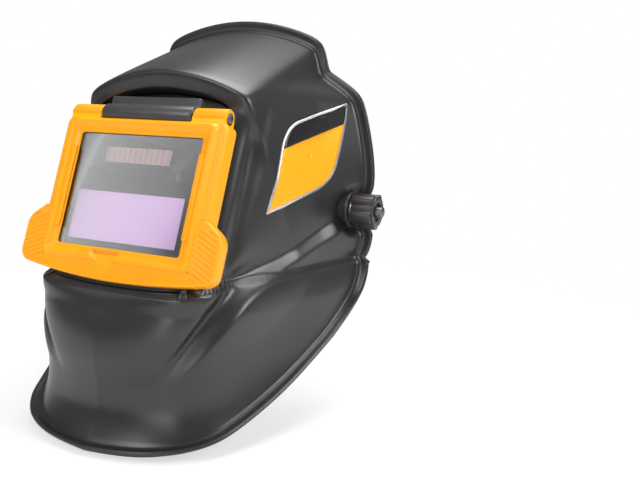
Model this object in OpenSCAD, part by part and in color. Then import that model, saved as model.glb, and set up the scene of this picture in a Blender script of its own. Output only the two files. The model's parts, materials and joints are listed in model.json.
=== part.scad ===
// Flip-front auto-darkening welding helmet with adjustable headgear, in millimetres.
// The origin is midway between the two side pivots, which the wearer's head carries.
// The front faces -Y, +Z is up and +X is the wearer's left.

/* [Shell] */
// Thickness of the moulded shell wall
shell_wall = 2.6; // [2.2:0.1:3]
// Half-width of the flat front beside the window
front_half = 66; // [64:0.5:68]
// Depth of the grooves that run down both flanks
groove_depth = 3; // [0:0.5:4]
// How far the jaw panels stand out below the slash line
jaw_step = 5; // [2:0.5:5]
// Width of the lip that is turned outwards round the rim
rim_lip = 7; // [5:0.5:8]

/* [Window] */
// Angle that the window leans back from upright
window_lean = 22; // [20:1:24]
// Width and height of the replaceable front lens
lens_size = [110, 90]; // [80:1:120]
// Width of the lens that shows inside the holder
sight_w = 101; // [98:1:103]
// Height of the lens that shows inside the holder
sight_h = 80; // [78:1:82]

/* [Filter] */
// Width of the darkening area
dark_w = 90; // [84:1:92]
// Height of the darkening area
dark_h = 35; // [32:1:36]
// Thickness of the filter cartridge
case_t = 9; // [8:0.5:9]

/* [Headgear] */
// Half-width of the head inside the headband
head_a = 72; // [70:1:73]
// Half-length of the head inside the headband
head_b = 92; // [90:1:93]
// Height of the headband
band_h = 30; // [26:1:32]
// Radius of the side bolts' shanks
bolt_r = 5; // [4.5:0.1:5.2]
// Radius of the side knobs over their lobes
knob_r = 13.5; // [12:0.5:15]

/* [Hidden] */
$fn = 48;
run = 0.05;                     // running clearance of each pin in its bore
window_y = -130;                // centre of the front lens's outer face
window_z = 20;
well_a = 60;                    // half-width, half-height and rise of the well round the window
well_b = 66;
well_rise = 3;
bottom_arc = 6;                 // rise of the bumper and the well from their middle to x = 72
top_arc = 9;                    // and of the well's top edge in its middle
well_power = 9;
well_n = -24;                   // floor of the well behind the lens face
hinge_v = 56;                   // flip hinge, up and out from the lens centre
hinge_n = -5;
hinge_r = 2;
lug_r = 6;
holder_x = 67;                  // half-width of the holder's body
holder_top = 52;
holder_bottom = -57;
holder_back = -17;
eye = [0, -35, -5];             // the shell's surface is seen as rays from this point
ray_near = 20;
ray_far = 330;
halvings = 14;                  // bisection steps of each ray
around = 72;                    // shell grid, round the window and from window to rim
along = 16;
boss_r = 10;                    // pivot bosses that the shell turns on
boss_in = 93.4;
boss_out = 108;
seat_x = 103;                   // round recess that each side knob sits in
seat_r = 15;
head_y = 14;                    // centre and slope of the headband
head_z = 24;
head_slope = -18;
knob_lobes = 5;

// ---- small functions ----

// Smooth step from 0 at a to 1 at b.
function ease(a, b, t) = let (s = max(0, min(1, (t - a) / (b - a)))) s * s * (3 - 2 * s);
// Rounded maximum and minimum; k is the size of the rounding.
function round_max(a, b, k) = (a + b + sqrt((a - b) * (a - b) + k * k)) / 2;
function round_min(a, b, k) = (a + b - sqrt((a - b) * (a - b) + k * k)) / 2;

// Slope of a table of [t, value] pairs at entry i.
function slope(table, i) =
    let (a = max(0, i - 1), b = min(len(table) - 1, i + 1))
    (table[b][1] - table[a][1]) / (table[b][0] - table[a][0]);
// Index of the last entry at or before t.
function entry(table, t, i = 0) =
    i >= len(table) - 2 || t < table[i + 1][0] ? i : entry(table, t, i + 1);
// Smooth curve through a table of [t, value] pairs, held level past both ends.
function curve(table, t_in) =
    let (t = max(table[0][0], min(table[len(table) - 1][0], t_in)), i = entry(table, t),
         h = table[i + 1][0] - table[i][0], s = (t - table[i][0]) / h, s2 = s * s, s3 = s2 * s)
    (2 * s3 - 3 * s2 + 1) * table[i][1] + (s3 - 2 * s2 + s) * h * slope(table, i)
    + (3 * s2 - 2 * s3) * table[i + 1][1] + (s3 - s2) * h * slope(table, i + 1);

// ---- the shell's form ----

// Front profile on the centre line: Y at each height.
FRONT = [[-160, -179], [-125, -173], [-105, -175], [-88, -177], [-70, -174], [-52, -166],
         [-42, -160], [-39.5, -156], [-37, -140], [-34, -137], [0, -123], [60, -99], [140, -67]];
// Half-width of the front, spread of the flanks and rounding of the corner between them.
HALF = [[-150, front_half - 3], [-100, front_half + 3], [-60, front_half + 8], [-38, front_half]];
SPREAD = [[-150, 0.15], [-100, 0.16], [-60, 0.165], [-20, 0.25], [30, 0.30], [90, 0.25]];
CORNER = [[-150, 48], [-80, 42], [-55, 32], [-40, 16], [-28, 12]];
// Height of the slash line along each flank.
SLASH = [[-185, -140], [-156, -93], [-138, -64], [-108, -40], [-62, -25], [-20, -10], [10, 2]];
// Height of the shoulder and of the crown along the top, and the crown's fall to its sides.
SHOULDER = [[-110, 80], [-90, 85], [-50, 92], [20, 98]];
CROWN = [[-110, 95], [-87, 103], [20, 131]];
CROWN_FALL = [[-87, 18], [20, 14]];

// Distance to the rim: upright behind the ears, sloping up below and level under the chin.
function to_rim(p) =
    let (behind = 20 - p.y, below = (p.z + 91 - tan(25) * (p.y + 30)) * cos(25), chin = p.z + 147)
    round_min(round_min(behind, below, 40), chin, 20);

// Below zero inside the shell's outer surface and above zero outside it.
function skin(p) =
    let (ax = abs(p.x), front_y = curve(FRONT, p.z),
         front = (front_y - p.y) * 0.93,
         groove = groove_depth * exp(-pow((-front - 19) / 5.5, 2))
                  * ease(-48, -20, p.z) * (1 - ease(66, 82, p.z)),
         flank = (ax - curve(HALF, p.z) - curve(SPREAD, p.z) * (p.y - front_y)) * 0.96 + groove,
         jaw = jaw_step * ease(-1, 10, curve(SLASH, p.y) - p.z) * ease(30, 60, ax)
               * ease(-170, -135, p.y),
         valley = 3.5 * exp(-pow((curve(SLASH, p.y) - p.z + 3) / 9, 2)) * ease(34, 52, ax)
                  * ease(-168, -140, p.y) * (1 - ease(-112, -60, p.y)),
         flare = (1 + 6 * ease(10, -100, p.y)) * pow(min(1.2, max(0, 1 - to_rim(p) / 34)), 2)
                 + 0.1 * round_max(33 - to_rim(p), 0, 1.5),
         wall = round_max(front, flank, curve(CORNER, p.z)) - jaw - flare + valley,
         shoulder = p.z - curve(SHOULDER, p.y) + 0.55 * round_max(ax - 66, 0, 6),
         top = (p.z - curve(CROWN, p.y) + curve(CROWN_FALL, p.y) * pow(ax / 66, 2)) * 0.93,
         side = ax - 67 - 0.02 * (p.y + 90) + 0.15 * (p.z - 90),
         brow = (-p.y - 90 - 0.35 * (p.z - 88)) * 0.9,
         crown = round_max(round_max(top, side, 5), brow, 3))
    let (seat = ax - seat_x - max(0, norm([p.y, p.z]) - seat_r))
    round_max(round_min(round_max(wall, shoulder, 7), crown, 5), seat, 1.5);

// Directions of the window's plane: along its width, up it and straight out of it.
across = [1, 0, 0];
up = [0, sin(window_lean), cos(window_lean)];
out = [0, -cos(window_lean), sin(window_lean)];
centre = [0, window_y, window_z];
ahead = (centre - eye) / norm(centre - eye);
above = cross(across, ahead) * (cross(across, ahead).z < 0 ? -1 : 1);

// Distance along a ray from the eye to the surface, by halving.
function reach(d, lo = ray_near, hi = ray_far, n = halvings) =
    n == 0 ? (lo + hi) / 2
    : skin(eye + d * (lo + hi) / 2) < 0 ? reach(d, (lo + hi) / 2, hi, n - 1)
    : reach(d, lo, (lo + hi) / 2, n - 1);
// Angle away from straight ahead at which the surface meets the rim.
function rim_angle(side, lo = 30, hi = 165, n = halvings) =
    let (m = (lo + hi) / 2, d = ahead * cos(m) + side * sin(m))
    n == 0 ? m
    : to_rim(eye + d * reach(d)) > 0 ? rim_angle(side, m, hi, n - 1)
    : rim_angle(side, lo, m, n - 1);
// Height above the lens plane at which a line along its normal leaves the surface.
function rise(p, lo = -60, hi = 60, n = halvings) =
    n == 0 ? (lo + hi) / 2
    : skin(p + out * (lo + hi) / 2) < 0 ? rise(p, (lo + hi) / 2, hi, n - 1)
    : rise(p, lo, (lo + hi) / 2, n - 1);

// Point of the well's rounded-rectangle outline at angle t, grown by g; its bottom is an arc.
function well_outline(t, g) =
    let (r = pow(pow(abs(cos(t)) / (well_a + g), well_power)
                 + pow(abs(sin(t)) / (well_b + g), well_power), -1 / well_power))
    [r * cos(t), well_rise + r * sin(t) + bottom_arc * pow(r * cos(t) / 72, 2) * max(0, -sin(t))
     + top_arc * (1 - pow(r * cos(t) / (well_a + g), 2)) * max(0, sin(t))];
function well_point(t, g) =
    let (p = well_outline(t, g)) centre + across * p.x + up * p.y;

// Rows of the outer surface, from the well's edge to the rim; each row goes once round.
function skin_rows() =
    let (cols = [for (i = [0 : around - 1])
            let (t = 360 * i / around, side = across * cos(t) + above * sin(t),
                 foot = well_point(t, 0), edge = foot + out * rise(foot), m = rim_angle(side),
                 a = (edge - eye) / norm(edge - eye), b = ahead * cos(m) + side * sin(m),
                 w = acos(a * b))
            [for (j = [0 : along])
                let (s = j / along, d = (a * sin((1 - s) * w) + b * sin(s * w)) / sin(w))
                j == 0 ? edge : eye + d * reach(d)]])
    [for (j = [0 : along]) [for (c = cols) c[j]]];

function unit(v) = v / norm(v);
// Outward normal of the grid at row j and column i.
function grid_normal(rows, j, i) =
    let (a = rows[max(0, j - 1)][i], b = rows[min(along, j + 1)][i],
         c = rows[j][(i + around - 1) % around], d = rows[j][(i + 1) % around],
         n = unit(cross(d - c, b - a)))
    n * (n * (rows[j][i] - eye) < 0 ? -1 : 1);

module shell_skin() {
    rows = skin_rows();
    normals = [for (j = [0 : along]) [for (i = [0 : around - 1]) grid_normal(rows, j, i)]];
    last = rows[along];
    back = [for (i = [0 : around - 1]) unit(last[i] - rows[along - 1][i])];
    // Rim lip: each pair is how far back and how far out of the wall its corner lies.
    lip = [for (c = [[1.5, 1], [3.5, rim_lip], [6.5, rim_lip], [6.5, -shell_wall]])
        [for (i = [0 : around - 1]) last[i] + back[i] * c[0] + normals[along][i] * c[1]]];
    inner = [for (j = [along : -1 : 1])
        [for (i = [0 : around - 1]) rows[j][i] - normals[j][i] * shell_wall]];
    well = [for (g = [shell_wall, 0]) [for (i = [0 : around - 1])
        well_point(360 * i / around, g) + out * well_n]];
    mouth = [for (i = [0 : around - 1])
        let (p = well_point(360 * i / around, shell_wall)) p + out * (rise(p) - shell_wall)];
    loop = concat(rows, lip, inner, [mouth], well);
    count = len(loop);
    points = [for (row = loop) for (p = row) p];
    faces = [for (j = [0 : count - 1]) for (i = [0 : around - 1])
        let (a = j * around + i, b = j * around + (i + 1) % around,
             c = ((j + 1) % count) * around + i, d = ((j + 1) % count) * around + (i + 1) % around)
        each [[a, b, d], [a, d, c]]];
    polyhedron(points, faces);
}

// ---- shared shapes ----

// Places its children in the window's frame: X across, Y up the window, Z straight out.
module at_window() {
    translate(centre) rotate([90 - window_lean, 0, 0]) children();
}

// Places its children in the headband's sloping frame.
module at_head() {
    translate([0, head_y, head_z]) rotate([head_slope, 0, 0]) children();
}

// Places its children with +Z along the pivot axis, outwards on the given side.
module at_pivot(side) {
    rotate([0, 90 * side, 0]) children();
}

// Outline of a rectangle w by h with its corners rounded to radius r.
function soft_rect(w, h, r) = [for (q = [0 : 3]) for (k = [0 : 6])
    let (a = 90 * q + 15 * k, sx = q == 0 || q == 3 ? 1 : -1, sy = q < 2 ? 1 : -1)
    [sx * (w / 2 - r) + r * cos(a), sy * (h / 2 - r) + r * sin(a)]];

module plate(w, h, r, z0, z1) {
    translate([0, 0, z0]) linear_extrude(z1 - z0) polygon(soft_rect(w, h, r));
}

// Rod of radius r along X from x0 to x1.
module x_rod(r, x0, x1) {
    translate([x0, 0, 0]) rotate([0, 90, 0]) cylinder(r = r, h = x1 - x0);
}

// Upright band that follows the ellipse a by b, t thick outwards, between two angles.
module band(a, b, t, start, end, z0, z1) {
    steps = max(4, ceil(abs(end - start) / 5));
    angles = [for (k = [0 : steps]) start + (end - start) * k / steps];
    outer = [for (u = angles) [(a + t) * cos(u), (b + t) * sin(u)]];
    inner = [for (k = [steps : -1 : 0]) [a * cos(angles[k]), b * sin(angles[k])]];
    translate([0, 0, z0]) linear_extrude(z1 - z0) polygon(concat(outer, inner));
}

// ---- shell and what is fixed to it ----

module shell() {
    color("dimgray") difference() {
        shell_skin();
        for (s = [-1, 1]) at_pivot(s)
            translate([0, 0, 60]) cylinder(r = boss_r + 0.3, h = 80);
        at_flank() translate([0, 0, -12]) cylinder(r = 5.3, h = 20);
    }
}

plate_n = [well_n + 0.2, -21];
grind_w = 104;
grind_h = 66;
grind_v = -4;

module window_plate() {
    color("dimgray") at_window() difference() {
        translate([0, 0, plate_n[0]]) linear_extrude(plate_n[1] - plate_n[0])
            polygon([for (i = [0 : around - 1]) well_outline(360 * i / around, -0.4)]);
        translate([0, grind_v, 0]) plate(grind_w, grind_h, 3, plate_n[0] - 1, plate_n[1] + 1);
        translate([lead_hole.x, lead_hole.y, plate_n[0] - 1]) cylinder(r = 3.4, h = 5);
    }
}

block_x = 37.5;
block_rise = 14;                // of the hinge body above the pin
module hinge_block() {
    color("black") at_window() difference() {
        union() {
            translate([0, hinge_v, hinge_n]) x_rod(7, -block_x, block_x);
            translate([-block_x, hinge_v - 3, plate_n[1]]) cube([2 * block_x, 10, hinge_n - plate_n[1]]);
            translate([-block_x, hinge_v, hinge_n - 8]) cube([2 * block_x, block_rise, 7]);
        }
        translate([0, hinge_v, hinge_n]) x_rod(hinge_r + run, -block_x - 1, block_x + 1);
    }
}

pin_x = 65;
module hinge_pin() {
    color("silver") at_window() translate([0, hinge_v, hinge_n]) {
        x_rod(hinge_r, -pin_x, pin_x);
        x_rod(3.4, -pin_x - 1.4, -pin_x);
    }
}

module hinge_clip() {
    color("silver") at_window() translate([0, hinge_v, hinge_n]) difference() {
        x_rod(3.6, pin_x - 1.6, pin_x - 0.8);
        x_rod(hinge_r + 0.01, pin_x - 2, pin_x);
    }
}

module grind_window() {
    color("lightcyan", 0.5) at_window() translate([0, grind_v, 0])
        plate(grind_w - 0.6, grind_h - 0.6, 2.7, -23, -21.6);
}

module window_clip(side) {
    color("black") at_window() translate([side * 50, grind_v, 0]) difference() {
        plate(12, 40, 2, -21, -18.6);
        for (v = [-13, 13]) translate([side * 3, v, -22]) cylinder(r = 1.2, h = 4);
    }
}

rest_v = -45;
module rest_pad() {
    color("black") at_window() difference() {
        translate([0, rest_v, 0]) plate(34, 5, 1, plate_n[1], holder_back - 0.2);
        translate([0, rest_v, holder_back]) x_rod(0.9, -20, 20);
    }
}

collar_gap = 2.5;               // from the seat's floor to the collar, past its rounded edge
module boss(side) {
    color("black") at_pivot(side) difference() {
        union() {
            translate([0, 0, boss_in]) cylinder(r = boss_r, h = boss_out - boss_in);
            translate([0, 0, seat_x + collar_gap]) cylinder(r = 13, h = boss_out - seat_x - collar_gap - 0.2);
        }
        translate([0, 0, boss_in - 1]) cylinder(r = bolt_r + run, h = 20);
    }
}

// ---- flip-up holder and the filter ----

ear_x = 80.5;
ear_top = -17;
holder_front = 1;
flange_n = -12;                 // back of the wide part of the holder
bumper_n = [-9, 2.2];           // back and front of the bottom bumper
// Right half of the bottom bumper and its ear, from the centre line upwards.
function bumper_half() = concat(
    [for (k = [0 : 6]) let (u = k / 6) [72 * u, -62 + bottom_arc * u * u]],
    [for (k = [1 : 6]) [72 + 8.5 * sin(15 * k), -47.5 - 8.5 * cos(15 * k)]],
    [[ear_x, -30]],
    [for (k = [1 : 6]) [68.5 + 12 * cos(8 * k), -30 + 12 * sin(8 * k)]],
    [[holder_x, ear_top + 3]]);
bumper = concat(bumper_half(),
    [for (p = [for (i = [len(bumper_half()) - 1 : -1 : 1]) bumper_half()[i]]) [-p.x, p.y]]);

// Square ring in the window's frame, centred at height v.
module frame_ring(w, h, r, v, hole_w, hole_h, z0, z1) {
    difference() {
        translate([0, v, 0]) plate(w, h, r, z0, z1);
        plate(hole_w, hole_h, 2, z0 - 1, z1 + 1);
    }
}

// Where the lead leaves the cartridge and where it passes through the window plate.
lead_start = [-50, 40, -10.9];
lead_hole = [-50, 50.5, -22];
lead_r = 1.6;

module holder() {
    body_h = holder_top - holder_bottom;
    body_v = (holder_top + holder_bottom) / 2;
    pocket_w = lens_size[0] + 1;
    pocket_h = lens_size[1] + 1;
    color("orange") at_window() difference() {
        union() {
            frame_ring(pocket_w + 6, pocket_h + 6, 4, 0, pocket_w, pocket_h, holder_back, flange_n);
            frame_ring(2 * holder_x, body_h, 6, body_v, pocket_w, pocket_h, flange_n, 0.05);
            frame_ring(2 * holder_x, body_h, 6, body_v, sight_w, sight_h, 0.05, holder_front);
            frame_ring(123, 101, 4, 0, pocket_w, pocket_h, holder_front, 4.5);
            difference() {
                translate([0, 0, bumper_n[0]]) linear_extrude(bumper_n[1] - bumper_n[0]) polygon(bumper);
                plate(118, 96, 2, -14, 4);
            }
            for (s = [-1, 1]) translate([s * 51, 0, 0]) {
                translate([-13, holder_top - 4, hinge_n - lug_r])
                    cube([26, hinge_v - holder_top + 4, 2 * lug_r]);
                translate([0, hinge_v, hinge_n]) x_rod(lug_r, -13, 13);
            }
        }
        translate([0, hinge_v, hinge_n]) {
            x_rod(hinge_r + run, -70, 70);
            x_rod(7.6, -block_x - 0.4, block_x + 0.4);
            x_rod(4.2, pin_x - 2.2, 70);
            x_rod(4, -70, -pin_x + 1);
        }
        for (s = [-1, 1]) for (k = [0 : 8])
            translate([s * 71.5, -49 + 3.2 * k, 2.4]) rotate([0, 0, -s * 24])
                translate([-6, 0, -0.7]) cube([12, 1.5, 2]);
        intersection() {
            translate([-7, -33, 2]) cylinder(r = 15, h = 6);
            translate([-27, -50, 1]) cube([40, 8.5, 8]);
        }
    }
}

module front_lens() {
    color("lightcyan", 0.35) at_window() plate(lens_size[0], lens_size[1], 1.5, -1, 0);
}

module lens_rail(side) {
    color("orange") at_window() {
        translate([side * 53.3, 0, 0]) plate(4.2, 58, 1, holder_front + 0.05, 3.4);
    }
}

case_front = -1.1;              // the cartridge clamps the lens against the holder's lip
case_back = case_front - case_t;
dark_v = -18;
solar_v = 25.5;
module filter_case() {
    color("#303030") at_window() difference() {
        plate(lens_size[0], lens_size[1], 2, case_back, case_front);
        translate([0, dark_v, 0]) plate(dark_w, dark_h, 1, case_front - 2.5, case_front + 1);
        translate([0, dark_v, 0]) plate(dark_w - 4, dark_h - 4, 1, case_back - 1, case_front);
        translate([0, solar_v, 0]) plate(55, 12, 0.5, case_front - 1, case_front + 1);
        for (s = [-1, 1]) translate([s * 36, 13, case_front - 2]) cylinder(r = 2.6, h = 4);
        for (s = [-1, 1]) translate([s * 40, 26, case_back - 1]) cylinder(r = 9.5, h = 3.6);
        translate([-12, 22, case_back - 1]) cube([24, 8, 2.6]);
    }
}

module filter_glass() {
    color("plum", 0.8) at_window() translate([0, dark_v, 0])
        plate(dark_w - 0.4, dark_h - 0.4, 0.8, case_front - 2.4, case_front - 0.4);
}

module solar_cell() {
    color("rosybrown") at_window() translate([0, solar_v, 0])
        plate(54, 11, 0.3, case_front - 0.95, case_front - 0.2);
}

module sensor(side) {
    color("black") at_window() translate([side * 36, 13, case_front - 1.9]) cylinder(r = 2.4, h = 1.4);
}

module dial(x) {
    color("black") at_window() translate([x, 26, case_back - 0.6]) difference() {
        union() {
            cylinder(r = 8.5, h = 3);
            for (k = [0 : 23]) rotate(15 * k) translate([8.3, -0.5, 0]) cube([0.6, 1, 3]);
        }
        translate([-0.6, 2, -1]) cube([1.2, 5, 1.8]);
    }
}

module sensitivity_knob() {
    dial(-40);
}

module delay_knob() {
    dial(40);
}

module mode_switch() {
    color("white") at_window() translate([-4.5, 23, case_back + 0.1]) {
        cube([9, 6, 1.3]);
        for (k = [0 : 2]) translate([2 + 2 * k, 0.5, -0.6]) cube([1, 5, 0.8]);
    }
}

module inner_lens() {
    color("lightcyan", 0.35) at_window() translate([0, dark_v, 0])
        plate(98, 44, 1, case_back - 1, case_back - 0.1);
}

module case_spring() {
    color("silver") at_window() {
        for (v = [-43, 8]) translate([-54, v, case_back - 2]) cube([108, 2, 0.8]);
        for (x = [-54, 52]) translate([x, -43, case_back - 2]) cube([2, 53, 0.8]);
    }
}

// ---- shade control on the wearer's right flank ----

shade_y = -62;
shade_z = 38;
shade_slope = 14.2;             // how far the flank's normal turns towards the front
shade_tilt = 8.3;               // and how far it turns up
// Distance from the centre plane to the flank's outer surface at the shade control.
function flank_x(lo = 20, hi = 140, n = halvings) =
    n == 0 ? (lo + hi) / 2
    : skin([(lo + hi) / 2, shade_y, shade_z]) < 0 ? flank_x((lo + hi) / 2, hi, n - 1)
    : flank_x(lo, (lo + hi) / 2, n - 1);

// Places its children on the right flank with +Z straight out of it.
module at_flank() {
    translate([-flank_x(), shade_y, shade_z]) rotate([0, 0, shade_slope])
        rotate([0, shade_tilt - 90, 0]) children();
}

module shade_base() {
    color("black") at_flank() difference() {
        union() {
            translate([0, 0, 1.2]) cylinder(r = 15, h = 3.8);
            translate([0, 0, -9]) cylinder(r = 5, h = 11);
            translate([0, 0, -9]) cylinder(r = 8, h = 3);
        }
        translate([0, 0, -10]) cylinder(r = 2, h = 9);
        translate([0, 0, 1.4]) cylinder(r = 3 + run, h = 4);
    }
}

module shade_knob() {
    color("black") at_flank() {
        translate([0, 0, 5.2]) cylinder(r = 12.5, h = 8);
        for (k = [0 : 17]) rotate(20 * k) translate([12, -1, 5.2]) cube([1.6, 2, 7]);
        translate([0, 0, 1.7]) cylinder(r = 3, h = 4);
    }
}

// Window-frame point in the helmet's frame.
function from_window(p) = centre + across * p.x + up * p.y + out * p.z;
// Point on the shade control's axis, a depth inside the shell's outer surface.
function inside_flank(d) =
    [-flank_x(), shade_y, shade_z]
    + d * [cos(shade_tilt) * cos(shade_slope), cos(shade_tilt) * sin(shade_slope), -sin(shade_tilt)];
// Centre line of the shade lead: out of the cartridge, through the window plate and along
// the inside of the shell to the shade control.
lead_route = concat(
    [for (p = [lead_start, [-50, 40.1, -14.5], [-50, 41.6, -17.6], [-50, 44.4, -19.05],
               [-50, 48.2, -19.2], lead_hole + [0, 0, 1.6], lead_hole + [0, 0, -2.6],
               [-50.5, 51.5, -28]]) from_window(p)],
    [[-58, -80, 62], [-61, -73, 56], [-64, -67, 48], [-66, -61.5, 41.2],
     inside_flank(11.5), inside_flank(8.6), inside_flank(5)]);

module tube(route, r, sides) {
    n = len(route);
    dirs = [for (i = [0 : n - 1]) unit(route[min(n - 1, i + 1)] - route[max(0, i - 1)])];
    points = [for (i = [0 : n - 1]) let (u = unit(cross(dirs[i], [0.2, 1, 0.1])), v = cross(dirs[i], u))
        for (k = [0 : sides - 1]) let (t = 360 * k / sides) route[i] + u * r * cos(t) + v * r * sin(t)];
    walls = [for (i = [0 : n - 2]) for (k = [0 : sides - 1])
        let (a = i * sides + k, b = i * sides + (k + 1) % sides) [a, b, b + sides, a + sides]];
    polyhedron(points, concat(walls, [[for (k = [sides - 1 : -1 : 0]) k]],
                              [[for (k = [0 : sides - 1]) (n - 1) * sides + k]]));
}

module shade_lead() {
    color("black") tube(lead_route, lead_r, 8);
}

// ---- headgear ----

band_t = 2;
module headband() {
    color("#202020") difference() {
        at_head() band(head_a, head_b, band_t, 155, 385, -band_h / 2, band_h / 2);
        translate([-90, 0, arm_z]) x_rod(2.6, 0, 180);
    }
}

module sweatband() {
    color("#404040") at_head() band(head_a - 5.3, head_b - 5.3, 5, 205, 335, -17, 17);
}

crown_top = 76;
crown_w = 18;
module crown_strap(side) {
    lift = side > 0 ? 0 : 1.7;
    color("#202020") at_head() translate([0, crown_w / 2, 0]) rotate([90, 0, 0])
        mirror([side > 0 ? 0 : 1, 0, 0])
        band(head_a - 1.9, crown_top + lift, 1.4, -6, 100, 0, crown_w);
}

fore_gap = 3.4;                 // room that the strap's lower end keeps from the headband
module fore_strap() {
    color("#202020") at_head() rotate([90, 0, 90]) translate([0, 0, -crown_w / 2])
        band(head_b + band_t + fore_gap, crown_top - 2.2, 1.4, 98, 174, 0, crown_w);
}

arm_z = 26;
arm_in = 82;
arm_out = 86;
module arm(side) {
    color("#202020") difference() {
        union() {
            at_pivot(side) translate([0, 0, arm_in]) cylinder(r = 15, h = arm_out - arm_in);
            translate([side > 0 ? arm_in : -arm_out, -11, 0]) cube([arm_out - arm_in, 22, arm_z + 9]);
            translate([0, 0, arm_z]) at_pivot(side)
                translate([0, 0, head_a + band_t + 0.2]) cylinder(r = 8, h = arm_in - head_a - band_t);
        }
        at_pivot(side) translate([0, 0, arm_in - 1]) cylinder(r = bolt_r + run, h = 8);
        translate([0, 0, arm_z]) at_pivot(side) translate([0, 0, 60]) cylinder(r = 2.6, h = 40);
        for (u = [-40, 0, 40]) at_pivot(side) rotate([0, 0, u]) translate([11.5 * side, 0, arm_in - 1])
            cylinder(r = 1.5, h = 8);
    }
}

module arm_rivet(side) {
    color("silver") translate([0, 0, arm_z]) at_pivot(side) {
        translate([0, 0, head_a - 3]) cylinder(r = 4, h = 1);
        translate([0, 0, head_a - 2.5]) cylinder(r = 2.5, h = arm_out - head_a + 3);
        translate([0, 0, arm_out + 0.1]) cylinder(r = 4, h = 1);
    }
}

knob_in = 110;
knob_out = 127;
module bolt(side) {
    color("silver") at_pivot(side) {
        translate([0, 0, arm_in - 4]) cylinder(r = 10, h = 3.9);
        translate([0, 0, arm_in - 1]) cylinder(r = bolt_r, h = knob_in - arm_in - 0.2 + 1);
        translate([0, 0, knob_in - 1]) cylinder(r = 3.9, h = knob_out + 4 - knob_in + 1);
    }
}

// Ring of radius r round the bolt, from z0 to z1 along the pivot.
module pivot_ring(side, r, z0, z1) {
    at_pivot(side) difference() {
        translate([0, 0, z0]) cylinder(r = r, h = z1 - z0);
        translate([0, 0, z0 - 1]) cylinder(r = bolt_r + run, h = z1 - z0 + 2);
    }
}

module washer(side) {
    color("ivory") pivot_ring(side, 11, arm_out + 0.2, boss_in - 0.2);
}

module spring_washer(side) {
    color("silver") pivot_ring(side, 9.5, boss_out + 0.3, knob_in - 0.3);
}

module side_knob(side) {
    color("black") at_pivot(side) difference() {
        union() {
            translate([0, 0, knob_in]) cylinder(r = knob_r - 2.5, h = knob_out - knob_in);
            for (k = [0 : knob_lobes - 1]) rotate(360 * k / knob_lobes)
                translate([knob_r - 4.5, 0, knob_in]) cylinder(r = 4.5, h = knob_out - knob_in - 1);
        }
        translate([0, 0, knob_in - 1]) cylinder(r = 3.9 + run, h = 20);
        translate([0, 0, knob_out - 2]) cylinder(r = 7, h = 3);
    }
}

strap_t = 1.4;
strap_gap = 0.3;
// A strap is full height on its own side and half height where it passes the spindle.
module rear_strap(side) {
    a = head_a + band_t + strap_gap;
    b = head_b + band_t + strap_gap;
    tongue = side > 0 ? [4.9, 8] : [-8, -4.9];
    color("#202020") at_head() mirror([side > 0 ? 0 : 1, 0, 0]) {
        band(a, b, strap_t, 12, 81, -8, 8);
        band(a, b, strap_t, 81, 98, tongue[0], tongue[1]);
    }
}

module ratchet_housing() {
    color("#202020") at_head() difference() {
        band(head_a, head_b, 9, 66, 114, -19, 19);
        band(head_a + 1.8, head_b + 1.8, 2.6, 60, 120, -8.8, 8.8);
        translate([0, head_b + 1, 0]) rotate([-90, 0, 0]) cylinder(r = 3.5 + run, h = 12);
        translate([0, head_b + 1, 0]) rotate([-90, 0, 0]) cylinder(r = 5, h = 3.6);
    }
}

module rear_pad() {
    color("#404040") at_head() band(head_a - 5.3, head_b - 5.3, 5, 68, 112, -16, 16);
}

spindle_teeth = 9;
module ratchet_spindle() {
    color("white") at_head() translate([0, head_b + 1.3, 0]) rotate([-90, 0, 0]) {
        cylinder(r = 3.7, h = 3);
        for (k = [0 : spindle_teeth - 1]) rotate(360 * k / spindle_teeth)
            translate([3.2, -0.5, 0]) cube([1.3, 1, 3]);
        translate([0, 0, 2]) cylinder(r = 3.5, h = 16);
    }
}

module ratchet_knob() {
    color("black") at_head() translate([0, head_b + 9.4, 0]) rotate([-90, 0, 0]) difference() {
        union() {
            cylinder(r = 15, h = 14);
            for (k = [0 : 11]) rotate(30 * k) translate([14.5, 0, 0]) cylinder(r = 2.6, h = 13);
        }
        translate([0, 0, -1]) cylinder(r = 3.5 + run, h = 11);
        translate([0, 0, 11]) cylinder(r = 8, h = 4);
    }
}

shell();
window_plate();
hinge_block();
hinge_pin();
hinge_clip();
grind_window();
window_clip(1);  // window_clip_l
window_clip(-1);  // window_clip_r
rest_pad();
boss(1);  // boss_l
boss(-1);  // boss_r
holder();
front_lens();
lens_rail(1);  // lens_rail_l
lens_rail(-1);  // lens_rail_r
filter_case();
filter_glass();
solar_cell();
sensor(1);  // sensor_l
sensor(-1);  // sensor_r
sensitivity_knob();
delay_knob();
mode_switch();
inner_lens();
case_spring();
shade_base();
shade_knob();
shade_lead();
headband();
sweatband();
crown_strap(1);  // crown_strap_l
crown_strap(-1);  // crown_strap_r
fore_strap();
arm(1);  // arm_l
arm(-1);  // arm_r
arm_rivet(1);  // arm_rivet_l
arm_rivet(-1);  // arm_rivet_r
bolt(1);  // bolt_l
bolt(-1);  // bolt_r
washer(1);  // washer_l
washer(-1);  // washer_r
spring_washer(1);  // spring_washer_l
spring_washer(-1);  // spring_washer_r
side_knob(1);  // side_knob_l
side_knob(-1);  // side_knob_r
rear_strap(1);  // rear_strap_l
rear_strap(-1);  // rear_strap_r
ratchet_housing();
rear_pad();
ratchet_spindle();
ratchet_knob();
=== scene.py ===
import json
from math import radians, sin, cos, pi

import bpy
import bmesh
import numpy as np
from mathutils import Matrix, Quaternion, Vector

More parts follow.
